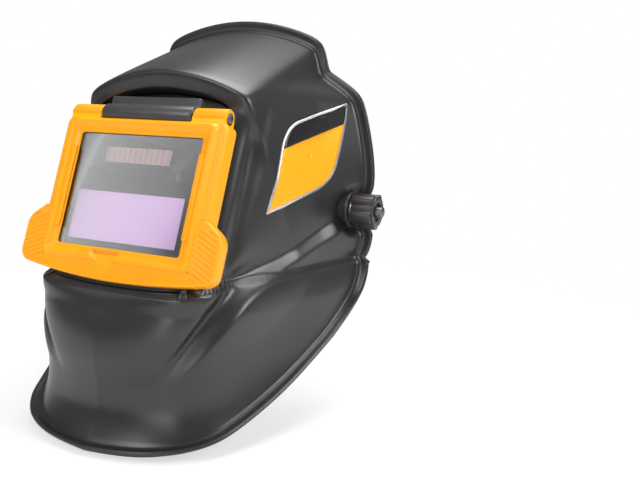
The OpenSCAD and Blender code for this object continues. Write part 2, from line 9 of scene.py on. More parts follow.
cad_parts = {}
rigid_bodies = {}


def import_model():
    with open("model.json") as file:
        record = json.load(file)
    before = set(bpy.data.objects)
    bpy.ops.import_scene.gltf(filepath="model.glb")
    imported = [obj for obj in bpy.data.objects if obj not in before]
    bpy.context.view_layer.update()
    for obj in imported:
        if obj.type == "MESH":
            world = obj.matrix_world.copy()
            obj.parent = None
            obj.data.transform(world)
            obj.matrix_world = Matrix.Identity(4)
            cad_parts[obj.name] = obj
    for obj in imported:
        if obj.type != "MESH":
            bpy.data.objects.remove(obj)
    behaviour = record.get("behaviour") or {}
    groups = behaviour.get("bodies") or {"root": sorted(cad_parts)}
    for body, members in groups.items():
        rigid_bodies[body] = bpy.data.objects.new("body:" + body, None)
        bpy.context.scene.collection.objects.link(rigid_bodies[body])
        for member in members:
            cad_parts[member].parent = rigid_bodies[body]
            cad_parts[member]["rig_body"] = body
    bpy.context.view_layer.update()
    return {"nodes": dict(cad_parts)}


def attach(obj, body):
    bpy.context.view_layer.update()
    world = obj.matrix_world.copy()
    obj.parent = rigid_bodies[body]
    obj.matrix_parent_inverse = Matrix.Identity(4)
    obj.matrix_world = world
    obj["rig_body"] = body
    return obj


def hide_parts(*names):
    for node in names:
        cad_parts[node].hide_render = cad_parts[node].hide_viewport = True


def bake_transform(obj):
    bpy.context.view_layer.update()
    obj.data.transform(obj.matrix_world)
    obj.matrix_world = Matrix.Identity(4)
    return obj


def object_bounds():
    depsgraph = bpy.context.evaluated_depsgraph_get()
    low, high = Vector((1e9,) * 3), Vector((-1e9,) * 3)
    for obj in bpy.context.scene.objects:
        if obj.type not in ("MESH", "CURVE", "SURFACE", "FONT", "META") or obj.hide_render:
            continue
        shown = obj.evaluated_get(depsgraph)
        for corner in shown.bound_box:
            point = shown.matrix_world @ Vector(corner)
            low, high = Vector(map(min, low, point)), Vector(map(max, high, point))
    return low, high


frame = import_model()
scene = bpy.context.scene
nodes = frame["nodes"]
print("frame loaded")

# ---------- camera, floor and light ----------

studio = {
    "cameraPlace": (0.3644, -0.6034, 0.1027),
    "cameraAim": (0.057, -0.130, -0.007),
    "cameraPan": 2.576,          # degrees to the right of the aim
    "lens": 50.0,
    "shift": 0.125,
    "floorColour": (0.93, 0.93, 0.93, 1),
    "ambient": 0.24,
}
# name, place, aim, width, height and power of each soft lamp
lamps = [
    ("windowLamp", (-0.15, -1.15, 1.00), (0.0, -0.13, 0.02), 0.60, 0.60, 8.5),
    ("lensLamp", (-0.86, -1.00, 0.66), (0.0, -0.13, 0.02), 0.34, 0.70, 1.1),
    ("topLamp", (0.05, 0.30, 1.20), (0.0, -0.05, 0.0), 1.00, 0.80, 19.0),
    ("sideLamp", (1.30, 0.10, 0.75), (0.05, -0.05, 0.0), 0.40, 0.70, 12.0),
    ("frontLamp", (0.35, -1.60, 0.10), (0.0, -0.1, -0.03), 0.50, 0.70, 4.0),
]

aim = Vector(studio["cameraAim"]) - Vector(studio["cameraPlace"])
cameraData = bpy.data.cameras.new("camera")
cameraData.lens = studio["lens"]
cameraData.shift_x = studio["shift"]
cameraData.clip_start, cameraData.clip_end = 0.01, 60
camera = bpy.data.objects.new("camera", cameraData)
camera.location = studio["cameraPlace"]
camera.rotation_mode = "QUATERNION"
pan = Quaternion((0, 1, 0), -radians(studio["cameraPan"]))
camera.rotation_quaternion = aim.to_track_quat("-Z", "Y") @ pan
scene.collection.objects.link(camera)
scene.camera = camera
scene.view_settings.view_transform = "Standard"

world = bpy.data.worlds.new("studio")
scene.world = world
world.use_nodes = True
tree = world.node_tree
tree.nodes.clear()
path = tree.nodes.new("ShaderNodeLightPath")
seen = tree.nodes.new("ShaderNodeMath")
seen.operation = "MAXIMUM"
level = tree.nodes.new("ShaderNodeMapRange")
level.inputs["To Min"].default_value = studio["ambient"]
level.inputs["To Max"].default_value = 1.0
sky = tree.nodes.new("ShaderNodeBackground")
sky.inputs["Color"].default_value = (1, 1, 1, 1)
worldOut = tree.nodes.new("ShaderNodeOutputWorld")
tree.links.new(path.outputs["Is Camera Ray"], seen.inputs[0])
tree.links.new(path.outputs["Is Transmission Ray"], seen.inputs[1])
tree.links.new(seen.outputs[0], level.inputs["Value"])
tree.links.new(level.outputs[0], sky.inputs["Strength"])
tree.links.new(sky.outputs[0], worldOut.inputs[0])

for name, place, target, width, height, power in lamps:
    lampData = bpy.data.lights.new(name, "AREA")
    lampData.shape = "RECTANGLE"
    lampData.size, lampData.size_y, lampData.energy = width, height, power
    lamp = bpy.data.objects.new(name, lampData)
    lamp.location = place
    lamp.rotation_mode = "QUATERNION"
    lamp.rotation_quaternion = (Vector(target) - Vector(place)).to_track_quat("-Z", "Y")
    scene.collection.objects.link(lamp)
print("camera and lamps placed")

# ---------- materials ----------


# A Principled material whose colour, roughness and bump come from noise on Object coordinates.
def finishOf(name, colour, roughness=0.45, spread=0.08, mottle=40, grain=2200, bump=0.12, depth=0.00008,
             metallic=0.0, coat=0.0, sheen=0.0, specular=0.5, stretch=(1, 1, 1), roughSpread=0.08):
    material = bpy.data.materials.new(name)
    material.use_nodes = True
    tree = material.node_tree
    shader = tree.nodes["Principled BSDF"]
    shader.inputs["Metallic"].default_value = metallic
    shader.inputs["Coat Weight"].default_value = coat
    shader.inputs["Coat Roughness"].default_value = 0.08
    shader.inputs["Sheen Weight"].default_value = sheen
    shader.inputs["Specular IOR Level"].default_value = specular
    where = tree.nodes.new("ShaderNodeTexCoord")
    mapping = tree.nodes.new("ShaderNodeMapping")
    mapping.inputs["Scale"].default_value = stretch
    tree.links.new(where.outputs["Object"], mapping.inputs["Vector"])
    cloud = noise(tree, mapping, mottle, 3)
    tint = tree.nodes.new("ShaderNodeValToRGB")
    low, high = [tuple(c * k for c in colour) + (1,) for k in (1 - spread, 1 + spread)]
    tint.color_ramp.elements[0].color, tint.color_ramp.elements[1].color = low, high
    tint.color_ramp.elements[0].position, tint.color_ramp.elements[1].position = 0.3, 0.7
    tree.links.new(cloud, tint.inputs[0])
    tree.links.new(tint.outputs[0], shader.inputs["Base Color"])
    rough = tree.nodes.new("ShaderNodeMapRange")
    rough.inputs["To Min"].default_value = max(0.02, roughness - roughSpread)
    rough.inputs["To Max"].default_value = min(1, roughness + roughSpread)
    tree.links.new(noise(tree, mapping, mottle * 7, 2), rough.inputs["Value"])
    tree.links.new(rough.outputs[0], shader.inputs["Roughness"])
    if bump:
        relief = tree.nodes.new("ShaderNodeBump")
        relief.inputs["Strength"].default_value = bump
        relief.inputs["Distance"].default_value = depth
        tree.links.new(noise(tree, mapping, grain, 2), relief.inputs["Height"])
        tree.links.new(relief.outputs[0], shader.inputs["Normal"])
    return material


def noise(tree, mapping, scale, detail):
    field = tree.nodes.new("ShaderNodeTexNoise")
    field.inputs["Scale"].default_value = scale
    field.inputs["Detail"].default_value = detail
    tree.links.new(mapping.outputs[0], field.inputs["Vector"])
    return field.outputs["Fac"]


# Clear sheet: see-through, with a mirror gloss that grows towards grazing angles.
def clearSheet(name, tint, gloss, body):
    material = bpy.data.materials.new(name)
    material.use_nodes = True
    tree = material.node_tree
    tree.nodes.remove(tree.nodes["Principled BSDF"])
    mirror = tree.nodes.new("ShaderNodeBsdfGlossy")
    mirror.inputs["Roughness"].default_value = gloss
    clear = tree.nodes.new("ShaderNodeBsdfTransparent")
    clear.inputs[0].default_value = (*tint, 1)
    edge = tree.nodes.new("ShaderNodeFresnel")
    edge.inputs["IOR"].default_value = 1.5
    share = tree.nodes.new("ShaderNodeMath")
    share.operation = "ADD"
    share.inputs[1].default_value = body
    mix = tree.nodes.new("ShaderNodeMixShader")
    tree.links.new(edge.outputs[0], share.inputs[0])
    tree.links.new(share.outputs[0], mix.inputs[0])
    tree.links.new(clear.outputs[0], mix.inputs[1])
    tree.links.new(mirror.outputs[0], mix.inputs[2])
    tree.links.new(mix.outputs[0], tree.nodes["Material Output"].inputs["Surface"])
    return material


# Adds a pattern of stripes along one Object axis to a finish's colour.
def striped(material, axis, pitch, share, dark):
    tree = material.node_tree
    shader = tree.nodes["Principled BSDF"]
    source = shader.inputs["Base Color"].links[0].from_socket
    where = tree.nodes.new("ShaderNodeTexCoord")
    split = tree.nodes.new("ShaderNodeSeparateXYZ")
    tree.links.new(where.outputs["Object"], split.inputs[0])
    fold = tree.nodes.new("ShaderNodeMath")
    fold.operation = "PINGPONG"
    fold.inputs[1].default_value = pitch / 2
    line = tree.nodes.new("ShaderNodeMath")
    line.operation = "LESS_THAN"
    line.inputs[1].default_value = share * pitch / 2
    mix = tree.nodes.new("ShaderNodeMix")
    mix.data_type = "RGBA"
    mix.inputs[7].default_value = (*dark, 1)
    tree.links.new(split.outputs[axis], fold.inputs[0])
    tree.links.new(fold.outputs[0], line.inputs[0])
    tree.links.new(line.outputs[0], mix.inputs[0])
    tree.links.new(source, mix.inputs[6])
    tree.links.new(mix.outputs[2], shader.inputs["Base Color"])
    return material


# Cloth: two crossed sets of fine ridges over the noise bump.
def knitted(material, pitch):
    tree = material.node_tree
    shader = tree.nodes["Principled BSDF"]
    where = tree.nodes.new("ShaderNodeTexCoord")
    total = None
    for direction in ("X", "Z"):
        ridge = tree.nodes.new("ShaderNodeTexWave")
        ridge.bands_direction = direction
        ridge.inputs["Scale"].default_value = 1 / pitch / 20 * 2 * pi
        ridge.inputs["Distortion"].default_value = 0.6
        tree.links.new(where.outputs["Object"], ridge.inputs["Vector"])
        if total is None:
            total = ridge.outputs["Fac"]
        else:
            add = tree.nodes.new("ShaderNodeMath")
            add.operation = "ADD"
            tree.links.new(total, add.inputs[0])
            tree.links.new(ridge.outputs["Fac"], add.inputs[1])
            total = add.outputs[0]
    relief = tree.nodes.new("ShaderNodeBump")
    relief.inputs["Strength"].default_value = 0.35
    relief.inputs["Distance"].default_value = 0.0003
    tree.links.new(total, relief.inputs["Height"])
    tree.links.new(shader.inputs["Normal"].links[0].from_socket, relief.inputs["Normal"])
    tree.links.new(relief.outputs[0], shader.inputs["Normal"])
    return material


shellPlastic = finishOf("shellPlastic", (0.019, 0.019, 0.020), 0.32, 0.06, 22, 1900, 0.12, 0.00005,
                        roughSpread=0.03)
blackPlastic = finishOf("blackPlastic", (0.018, 0.018, 0.019), 0.42, 0.10, 60, 2400, 0.14)
hingePlastic = finishOf("hingePlastic", (0.045, 0.047, 0.05), 0.36, 0.08, 80, 2400, 0.14)
strapPlastic = finishOf("strapPlastic", (0.022, 0.022, 0.024), 0.48, 0.10, 60, 2400, 0.2)
orangePlastic = finishOf("orangePlastic", (0.95, 0.365, 0.0), 0.36, 0.03, 50, 2400, 0.06, specular=0.35)
casePlastic = finishOf("casePlastic", (0.052, 0.052, 0.056), 0.50, 0.06, 90, 3200, 0.22)
softRubber = finishOf("softRubber", (0.016, 0.016, 0.016), 0.68, 0.12, 120, 2600, 0.2)
nylon = finishOf("nylon", (0.62, 0.59, 0.50), 0.42, 0.04, 90, 2200, 0.08)
zincSteel = finishOf("zincSteel", (0.62, 0.62, 0.64), 0.30, 0.05, 300, 1800, 0.1, metallic=1.0,
                     stretch=(1, 6, 6))
darkSteel = finishOf("darkSteel", (0.11, 0.11, 0.115), 0.36, 0.06, 200, 2000, 0.1, metallic=1.0)
springSteel = finishOf("springSteel", (0.50, 0.50, 0.52), 0.28, 0.05, 300, 2400, 0.1, metallic=1.0,
                       stretch=(6, 1, 1))
knitCloth = knitted(finishOf("knitCloth", (0.030, 0.030, 0.032), 0.88, 0.18, 200, 1500, 0.5, 0.0003,
                             sheen=0.35), pitch=0.0011)
violetGlass = finishOf("violetGlass", (0.90, 0.60, 0.98), 0.16, 0.02, 12, 2200, 0, coat=0.4)
solarGlass = striped(finishOf("solarGlass", (0.46, 0.27, 0.27), 0.22, 0.05, 60, 2400, 0, coat=0.5),
                     axis=0, pitch=0.0045, share=0.12, dark=(0.62, 0.48, 0.46))
sensorGlass = finishOf("sensorGlass", (0.01, 0.01, 0.014), 0.08, 0.05, 90, 2200, 0, coat=1.0)
clearLens = clearSheet("clearLens", (0.96, 0.965, 0.97), 0.10, 0.01)
labelSilver = finishOf("labelSilver", (0.55, 0.56, 0.57), 0.30, 0.04, 90, 2600, 0.05, metallic=0.6)
labelBlack = finishOf("labelBlack", (0.010, 0.010, 0.011), 0.22, 0.08, 90, 2600, 0.04)
labelOrange = finishOf("labelOrange", (0.95, 0.38, 0.004), 0.26, 0.03, 90, 2600, 0.04)
print("materials made")

# ---------- meshes from grids ----------

mm = 0.001


# A grid of points (rows, columns, 3) in millimetres as quads; wrapU closes the columns, wrapV the rows.
def gridPiece(name, grid, material, wrapU=True, wrapV=True, capEnds=False, flip=False):
    rows, columns = grid.shape[:2]
    index = np.arange(rows * columns).reshape(rows, columns)
    a = index if wrapV else index[:-1]
    c = np.roll(index, -1, 0) if wrapV else index[1:]
    if not wrapU:
        a, c, b, d = a[:, :-1], c[:, :-1], a[:, 1:], c[:, 1:]
    else:
        b, d = np.roll(a, -1, 1), np.roll(c, -1, 1)
    quads = np.stack([a, b, d, c], -1).reshape(-1, 4)
    faces = quads.tolist()
    if capEnds:
        faces += [index[0, ::-1].tolist(), index[-1].tolist()]
    if flip:
        faces = [f[::-1] for f in faces]
    return solidPiece(name, grid.reshape(-1, 3), faces, material)


def solidPiece(name, points, faces, material):
    mesh = bpy.data.meshes.new(name)
    mesh.from_pydata((np.asarray(points) * mm).tolist(), [], faces)
    mesh.validate()
    mesh.polygons.foreach_set("use_smooth", np.ones(len(mesh.polygons), bool))
    piece = bpy.data.objects.new(name, mesh)
    scene.collection.objects.link(piece)
    mesh.materials.append(material)
    return piece


# Turns a closed mesh's faces so that its volume is positive, which is outwards.
def faceOut(piece):
    work = bmesh.new()
    work.from_mesh(piece.data)
    if work.calc_volume(signed=True) < 0:
        bmesh.ops.reverse_faces(work, faces=work.faces)
        work.to_mesh(piece.data)
    work.free()
    return piece


def bevelled(piece, width, segments=2, limit=32):
    bevel = piece.modifiers.new("bevel", "BEVEL")
    bevel.width, bevel.segments = width * mm, segments
    bevel.limit_method, bevel.angle_limit = "ANGLE", radians(limit)
    bevel.use_clamp_overlap = False
    bevel.harden_normals = True
    return piece


# Nodes with acute inner corners, where a bevel of full width would cross itself.
acuteNodes = ("side_knob_l", "side_knob_r", "ratchet_spindle", "boss_l", "boss_r", "shade_knob")


# Copy of a CAD node with its triangles merged into flat faces and its edges rounded.
def easedCopy(name, node, width, material, segments=2, ride=True):
    work = bmesh.new()
    work.from_mesh(nodes[node].data)
    bmesh.ops.remove_doubles(work, verts=work.verts, dist=0.000004)
    bmesh.ops.dissolve_limit(work, angle_limit=radians(0.6), verts=work.verts, edges=work.edges)
    mesh = bpy.data.meshes.new(name)
    work.to_mesh(mesh)
    work.free()
    flat = material in (clearLens, violetGlass)
    mesh.polygons.foreach_set("use_smooth", np.full(len(mesh.polygons), not flat))
    mesh.materials.append(material)
    piece = bpy.data.objects.new(name, mesh)
    scene.collection.objects.link(piece)
    bevelled(piece, width, segments)
    piece.modifiers["bevel"].use_clamp_overlap = node in acuteNodes
    if flat:
        piece.modifiers["bevel"].harden_normals = False
    return place(piece, bodyOf(node), node) if ride else piece


def bodyOf(node):
    return nodes[node]["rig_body"]


# Puts a piece on a body and hides the nodes that it stands for.
def place(piece, body, *stoodFor, slot=None):
    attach(piece, body)
    if stoodFor:
        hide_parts(*stoodFor)
    return piece


# Points given across, up and out of the window, in the helmet's frame.
windowFrame = {"y": -130.0, "z": 20.0, "lean": radians(22)}


def fromWindow(x, v, n):
    lean = windowFrame["lean"]
    x, v, n = np.broadcast_arrays(x, v, n)
    return np.stack([x, windowFrame["y"] + v * sin(lean) - n * cos(lean),
                     windowFrame["z"] + v * cos(lean) + n * sin(lean)], -1)


# Points given in the headband's sloping frame.
headFrame = {"y": 14.0, "z": 24.0, "slope": radians(-18)}


def fromHead(x, y, z):
    slope = headFrame["slope"]
    x, y, z = np.broadcast_arrays(x, y, z)
    return np.stack([x, headFrame["y"] + y * cos(slope) - z * sin(slope),
                     headFrame["z"] + y * sin(slope) + z * cos(slope)], -1)


# Rounds the corners of a row of stations: each corner becomes a short parabola between points
# that lie the radius away from it on its two sides.
def rounded(stations, radius, steps=4, closed=True):
    points = np.array(stations, float)
    before = np.roll(points, 1, 0) - points
    after = np.roll(points, -1, 0) - points
    lengthA, lengthB = np.linalg.norm(before, axis=1), np.linalg.norm(after, axis=1)
    reach = np.minimum(radius, 0.45 * np.minimum(lengthA, lengthB))[:, None]
    start = points + before / np.maximum(lengthA, 1e-6)[:, None] * reach
    end = points + after / np.maximum(lengthB, 1e-6)[:, None] * reach
    t = np.linspace(0, 1, steps + 1)[None, :, None]
    curve = (1 - t) ** 2 * start[:, None] + 2 * t * (1 - t) * points[:, None] + t ** 2 * end[:, None]
    if not closed:
        curve[0], curve[-1] = points[0], points[-1]
    return curve.reshape(-1, points.shape[1])


# Outline of a rectangle with round corners: halves of its width and height, radius and height
# of its centre are arrays of one length, and the points go round counter-clockwise.
def roundRects(halfW, halfH, radius, centre, sideSteps=40, cornerSteps=8):
    sign = np.array([(1, 1), (-1, 1), (-1, -1), (1, -1)], float)
    turn = np.linspace(0, pi / 2, cornerSteps + 1)
    xs, vs = [], []
    for q in range(4):
        nextQ = (q + 1) % 4
        angle = turn + q * pi / 2
        cx, cv = sign[q, 0] * (halfW - radius), sign[q, 1] * (halfH - radius)
        cornerX = cx[:, None] + radius[:, None] * np.cos(angle)
        cornerV = cv[:, None] + radius[:, None] * np.sin(angle)
        endAngle = (q + 1) * pi / 2
        nextX = sign[nextQ, 0] * (halfW - radius) + radius * cos(endAngle)
        nextV = sign[nextQ, 1] * (halfH - radius) + radius * sin(endAngle)
        t = np.linspace(0, 1, sideSteps + 1)[1:-1]
        sideX = cornerX[:, -1:] * (1 - t) + nextX[:, None] * t
        sideV = cornerV[:, -1:] * (1 - t) + nextV[:, None] * t
        xs += [cornerX, sideX]
        vs += [cornerV, sideV]
    return np.concatenate(xs, 1), np.concatenate(vs, 1) + centre[:, None]


# Ring or plate made of rounded rectangles in the window's frame, one for each station
# (half width, half height, corner radius, centre height, height out of the window).
def windowLoft(name, stations, ease, material, closed=True, sideSteps=40, shape=None):
    profile = rounded(stations, ease, closed=closed)
    x, v = roundRects(profile[:, 0], profile[:, 1], profile[:, 2], profile[:, 3], sideSteps)
    n = np.repeat(profile[:, 4:5], x.shape[1], 1)
    if shape:
        x, v, n = shape(x, v, n)
    return faceOut(gridPiece(name, fromWindow(x, v, n), material, True, closed, not closed))


# Turned part: radius and height stations spun about an axis.
def turnedPiece(name, stations, ease, axisAt, axisTo, material, count=64):
    profile = rounded(stations, ease, closed=False)
    angle = np.linspace(0, 2 * pi, count, endpoint=False)
    radius = profile[:, :1] * np.ones(count)
    axis = Vector(axisTo).normalized()
    side = axis.orthogonal().normalized()
    other = np.array(axis.cross(side))
    side, axis = np.array(side), np.array(axis)
    spoke = np.cos(angle)[:, None] * side + np.sin(angle)[:, None] * other
    grid = np.array(axisAt) + radius[..., None] * spoke + profile[:, 1:2, None] * axis
    return faceOut(gridPiece(name, grid, material, True, False, True))


# ---------- the shell's form ----------

# Tables of (position, value) that the moulded shell's curves run through, in millimetres.
shellForm = {
    "wall": 2.6, "groove": 3.0, "jaw": 5.0, "around": 432, "along": 120,
    "eye": np.array([0, -35.0, -5.0]),
    "front": [(-160, -179), (-125, -173), (-105, -175), (-88, -177), (-70, -174), (-52, -166), (-42, -160),
              (-39.5, -156), (-37, -140), (-34, -137), (0, -123), (60, -99), (140, -67)],
    "half": [(-150, 63), (-100, 69), (-60, 74), (-38, 66)],
    "spread": [(-150, 0.15), (-100, 0.16), (-60, 0.165), (-20, 0.25), (30, 0.30), (90, 0.25)],
    "corner": [(-150, 48), (-80, 42), (-55, 32), (-40, 16), (-28, 12)],
    "slash": [(-185, -140), (-156, -93), (-138, -64), (-108, -40), (-62, -25), (-20, -10), (10, 2)],
    "shoulder": [(-110, 80), (-90, 85), (-50, 92), (20, 98)],
    "crown": [(-110, 95), (-87, 103), (20, 131)],
    "crownFall": [(-87, 18), (20, 14)],
    "well": (60.0, 66.0, 3.0, 9.0, -24.0),      # half width, half height, rise, power and floor
    "wellArcs": (6.0, 9.0),                     # rise of its bottom at x = 72 and of its top in the middle
    "flange": (1.6, 1.3),                       # width and thickness of the flange at the well's floor
    "seat": (103.0, 15.0),                      # place and radius of the round seat of each side knob
    # lip corners: how far back and how far out of the wall
    "lip": [(1.2, 0.4), (2.2, 1.5), (2.9, 3.4), (3.4, 5.4), (3.9, 6.5), (4.8, 7.0), (5.7, 6.8), (6.3, 6.1),
            (6.5, 5.0), (6.5, 1.2), (6.2, -2.0), (5.4, -2.6)],
}


def ease(a, b, t):
    s = np.clip((t - a) / (b - a), 0, 1)
    return s * s * (3 - 2 * s)


def roundMax(a, b, k):
    return (a + b + np.sqrt((a - b) ** 2 + k * k)) / 2


def roundMin(a, b, k):
    return (a + b - np.sqrt((a - b) ** 2 + k * k)) / 2


# Hermite curve through a table, with central slopes, held level past both ends.
def along(table, t):
    xs, ys = np.array(shellForm[table], float).T
    before, after = np.maximum(np.arange(len(xs)) - 1, 0), np.minimum(np.arange(len(xs)) + 1, len(xs) - 1)
    slope = (ys[after] - ys[before]) / (xs[after] - xs[before])
    t = np.clip(t, xs[0], xs[-1])
    i = np.clip(np.searchsorted(xs, t, "right") - 1, 0, len(xs) - 2)
    h = xs[i + 1] - xs[i]
    s = (t - xs[i]) / h
    return ((2 * s ** 3 - 3 * s ** 2 + 1) * ys[i] + (s ** 3 - 2 * s ** 2 + s) * h * slope[i]
            + (3 * s ** 2 - 2 * s ** 3) * ys[i + 1] + (s ** 3 - s ** 2) * h * slope[i + 1])


# Distance to the rim: upright behind the ears, sloping up below and level under the chin.
def toRim(p):
    behind = 20 - p[..., 1]
    below = (p[..., 2] + 91 - np.tan(radians(25)) * (p[..., 1] + 30)) * cos(radians(25))
    chin = p[..., 2] + 147
    return roundMin(roundMin(behind, below, 40), chin, 20)


# Below zero inside the shell's outer surface and above zero outside it: the rounded maximum of
# the front, flank and shoulder walls, cut by the crown's top, side and brow.
def skin(p):
    ax, y, z = np.abs(p[..., 0]), p[..., 1], p[..., 2]
    frontY = along("front", z)
    front = (frontY - y) * 0.93
    groove = (shellForm["groove"] * np.exp(-((-front - 19) / 5.5) ** 2) * ease(-48, -20, z)
              * (1 - ease(66, 82, z)))
    flank = (ax - along("half", z) - along("spread", z) * (y - frontY)) * 0.96 + groove
    slash = along("slash", y) - z
    jaw = shellForm["jaw"] * ease(-1, 10, slash) * ease(30, 60, ax) * ease(-170, -135, y)
    valley = (3.5 * np.exp(-((slash + 3) / 9) ** 2) * ease(34, 52, ax)
              * ease(-168, -140, y) * (1 - ease(-112, -60, y)))
    flare = ((1 + 6 * ease(10, -100, y)) * np.clip(1 - toRim(p) / 34, 0, 1.2) ** 2
             + 0.1 * roundMax(33 - toRim(p), 0, 1.5))
    wall = roundMax(front, flank, along("corner", z)) - jaw - flare + valley
    shoulder = z - along("shoulder", y) + 0.55 * roundMax(ax - 66, 0, 6)
    top = (z - along("crown", y) + along("crownFall", y) * (ax / 66) ** 2) * 0.93
    side = ax - 67 - 0.02 * (y + 90) + 0.15 * (z - 90)
    brow = (-y - 90 - 0.35 * (z - 88)) * 0.9
    crown = roundMax(roundMax(top, side, 5), brow, 3)
    seatX, seatR = shellForm["seat"]
    seat = ax - seatX - np.maximum(0, np.hypot(y, z) - seatR)
    return roundMax(roundMin(roundMax(wall, shoulder, 7), crown, 5), seat, 1.5)


# How far along each ray from start the surface lies, by halving.
def reachSkin(start, direction, near, far):
    low, high = np.full(direction.shape[:-1], float(near)), np.full(direction.shape[:-1], float(far))
    for _ in range(24):
        middle = (low + high) / 2
        inside = skin(start + direction * middle[..., None]) < 0
        low, high = np.where(inside, middle, low), np.where(inside, high, middle)
    return (low + high) / 2


def unit(v):
    return v / np.linalg.norm(v, axis=-1, keepdims=True)


# Outward normal of the surface from the slope of skin().
def skinNormal(p, step=0.4):
    shifts = np.eye(3) * step
    return unit(np.stack([skin(p + s) - skin(p - s) for s in shifts], -1))


# Shell: rows of rays swing from the well's edge to the rim, then the lip, the inner wall and
# the well's own wall close the loop.
def makeShell():
    eye = shellForm["eye"]
    wellA, wellB, wellRise, power, floor = shellForm["well"]
    count, rowsCount = shellForm["around"], shellForm["along"]
    lean = windowFrame["lean"]
    out = np.array([0, -cos(lean), sin(lean)])
    centre = fromWindow(0, 0, 0)
    ahead = unit(centre - eye)
    across = np.array([1.0, 0, 0])
    above = np.cross(across, ahead)
    above = above * (-1 if above[2] < 0 else 1)
    t = np.linspace(0, 2 * pi, count, endpoint=False)

    def wellLoop(grow):
        r = ((np.abs(np.cos(t)) / (wellA + grow)) ** power
             + (np.abs(np.sin(t)) / (wellB + grow)) ** power) ** (-1 / power)
        low, top = shellForm["wellArcs"]
        x = r * np.cos(t)
        v = (wellRise + r * np.sin(t) + low * (x / 72) ** 2 * np.maximum(0, -np.sin(t))
             + top * (1 - (x / (wellA + grow)) ** 2) * np.maximum(0, np.sin(t)))
        return fromWindow(x, v, 0)

    def onSkin(loop):
        return loop + out * reachSkin(loop, np.broadcast_to(out, loop.shape), -60, 60)[:, None]

    side = across * np.cos(t)[:, None] + above * np.sin(t)[:, None]
    low, high = np.full(count, radians(30)), np.full(count, radians(165))
    for _ in range(22):
        middle = (low + high) / 2
        d = ahead * np.cos(middle)[:, None] + side * np.sin(middle)[:, None]
        clear = toRim(eye + d * reachSkin(eye, d, 20, 330)[:, None]) > 0
        low, high = np.where(clear, middle, low), np.where(clear, high, middle)
    edge = onSkin(wellLoop(1.2))
    a, b = unit(edge - eye), ahead * np.cos(low)[:, None] + side * np.sin(low)[:, None]
    w = np.arccos((a * b).sum(-1))[None, :, None]
    s = np.linspace(0, 1, rowsCount + 1)[:, None, None]
    d = (a * np.sin((1 - s) * w) + b * np.sin(s * w)) / np.sin(w)
    rows = eye + d * reachSkin(eye, d, 20, 330)[..., None]
    rows[0] = edge
    normals = skinNormal(rows)
    for _ in range(6):
        normals = unit(normals + np.roll(normals, 1, 1) + np.roll(normals, -1, 1))
        normals[1:-1] = unit(normals[1:-1] + normals[:-2] + normals[2:])
    back = unit(rows[-1] - rows[-2])
    lip = np.stack([rows[-1] + back * p[0] + normals[-1] * p[1] for p in shellForm["lip"]])
    inner = (rows - normals * shellForm["wall"])[::-1]
    wall = shellForm["wall"]
    mouth = onSkin(wellLoop(wall))[None] - out * wall
    # the well's floor has a narrow flange behind the window plate
    lip0, lip1 = out * (floor - shellForm["flange"][1]), out * (floor - 0.1)
    floorLoops = np.stack([wellLoop(wall) + lip0, wellLoop(-shellForm["flange"][0]) + lip0,
                           wellLoop(-shellForm["flange"][0]) + lip1, wellLoop(0) + lip1])
    rim = onSkin(wellLoop(0))
    wellWall = np.stack([wellLoop(0) + out * (floor + 2), rim - out * 1.5, onSkin(wellLoop(0.1)) - out * 0.7,
                         onSkin(wellLoop(0.35)) - out * 0.25, onSkin(wellLoop(0.75)) - out * 0.05])
    loop = np.concatenate([rows, lip, inner, mouth, floorLoops, wellWall])
    return faceOut(gridPiece("shellMoulding", loop, shellPlastic))


# Cuts round holes through a piece with cylinders given as (place, axis, radius, half length).
def drill(piece, holes):
    for place_, axis, radius, half in holes:
        bpy.ops.mesh.primitive_cylinder_add(vertices=64, radius=radius * mm, depth=2 * half * mm)
        cutter = bpy.context.object
        cutter.location = Vector(place_) * mm
        cutter.rotation_mode = "QUATERNION"
        cutter.rotation_quaternion = Vector(axis).to_track_quat("Z", "Y")
        bpy.context.view_layer.update()
        cut = piece.modifiers.new("hole", "BOOLEAN")
        cut.operation, cut.solver, cut.object = "DIFFERENCE", "EXACT", cutter
        applyModifiers(piece)
        bpy.data.objects.remove(cutter)


def applyModifiers(piece):
    view = bpy.context.evaluated_depsgraph_get()
    mesh = bpy.data.meshes.new_from_object(piece.evaluated_get(view))
    piece.modifiers.clear()
    piece.data = mesh


shadeControl = {"y": -62.0, "z": 38.0, "slope": radians(14.2), "tilt": radians(8.3)}
flankStart = np.array([[0, shadeControl["y"], shadeControl["z"]]])
flankX = float(reachSkin(flankStart, np.array([[-1.0, 0, 0]]), 20, 140)[0])
shadeAt = np.array([-flankX, shadeControl["y"], shadeControl["z"]])
shadeOut = np.array([-cos(shadeControl["tilt"]) * cos(shadeControl["slope"]),
                     -cos(shadeControl["tilt"]) * sin(shadeControl["slope"]), sin(shadeControl["tilt"])])

shellPiece = makeShell()
drill(shellPiece, [((100, 0, 0), (1, 0, 0), 10.3, 20), ((-100, 0, 0), (1, 0, 0), 10.3, 20),
                   (tuple(shadeAt), tuple(shadeOut), 5.3, 12)])
place(shellPiece, "shell", "shell")
print("shell moulded")

# ---------- label on the left flank ----------

label = {
    # corners of the sticker on the flank as (y, z, rounding)
    "corners": [(-79, 4, 2), (-15, 20, 15), (13, 77.5, 2), (-54, 63, 16)],
    "border": 1.7, "header": 15.0, "thickness": 0.25,
}


